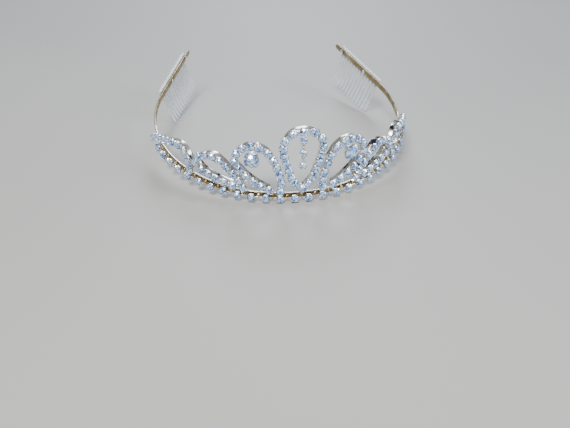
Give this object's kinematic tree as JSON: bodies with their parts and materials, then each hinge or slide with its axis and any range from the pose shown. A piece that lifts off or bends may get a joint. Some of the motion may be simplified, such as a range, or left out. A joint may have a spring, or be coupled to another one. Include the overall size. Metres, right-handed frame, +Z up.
{
  "type": "bridal tiara",
  "caption": "Bridal tiara: a brass headband carrying loops of rhinestone cup chain, a row of stones across its face, a swinging stone drop in the middle and two clear hair combs.",
  "frame": {"origin": "centre of the outer box at the level of the table that the tiara stands on", "axes": "+X to the right seen from the front, across the band; +Y from the front stones to the open back of the band; +Z up"},
  "size_m": [0.1466, 0.1422, 0.0413],
  "materials": {
    "brass": "polished",
    "pale_gold": "polished",
    "silver": "bright",
    "crystal": "faceted",
    "clear_plastic": "clear gloss"
  },
  "bodies": {
    "tiara": {"base_row_chain": "silver", "centre_loop_chain": "silver", "centre_loop_strip": "pale_gold", "comb_left": "clear_plastic", "comb_right": "clear_plastic", "comb_rivet_left_1": "silver", "comb_rivet_left_2": "silver", "comb_rivet_right_1": "silver", "comb_rivet_right_2": "silver", "drop_cup_top": "silver", "drop_stone_top": "crystal", "headband": "brass", "left_inner_loop_chain": "silver", "left_inner_loop_strip": "pale_gold", "left_large_setting": "silver", "left_large_stone": "crystal", "left_leaf_chain": "silver", "left_leaf_strip": "pale_gold", "left_outer_arch_chain": "silver", "left_outer_arch_strip": "pale_gold", "right_inner_loop_chain": "silver", "right_inner_loop_strip": "pale_gold", "right_large_setting": "silver", "right_large_stone": "crystal", "right_leaf_chain": "silver", "right_leaf_strip": "pale_gold", "right_outer_arch_chain": "silver", "right_outer_arch_strip": "pale_gold"},
    "drop_ring_upper": {"drop_ring_upper": "brass"},
    "drop_middle": {"drop_cup_middle": "silver", "drop_stone_middle": "crystal"},
    "drop_ring_lower": {"drop_ring_lower": "brass"},
    "drop_lower": {"drop_cup_lower": "silver", "drop_stone_lower": "crystal"}
  },
  "joints": [
    {"name": "drop_ring_upper_sway", "type": "hinge", "parent": "tiara", "child": "drop_ring_upper", "pos_m": [0.0018, -0.06889, 0.03245], "axis": [0.0281, -0.9996, 0], "range_deg": [-12, 12]},
    {"name": "drop_middle_swing", "type": "hinge", "parent": "drop_ring_upper", "child": "drop_middle", "pos_m": [0.0018, -0.06889, 0.03055], "axis": [0.9996, 0.0281, 0], "range_deg": [-30, 30]},
    {"name": "drop_ring_lower_sway", "type": "hinge", "parent": "drop_middle", "child": "drop_ring_lower", "pos_m": [0.0018, -0.06889, 0.02585], "axis": [0.0281, -0.9996, 0], "range_deg": [-12, 12]},
    {"name": "drop_lower_swing", "type": "hinge", "parent": "drop_ring_lower", "child": "drop_lower", "pos_m": [0.0018, -0.06889, 0.02395], "axis": [0.9996, 0.0281, 0], "range_deg": [-30, 30]}
  ]
}
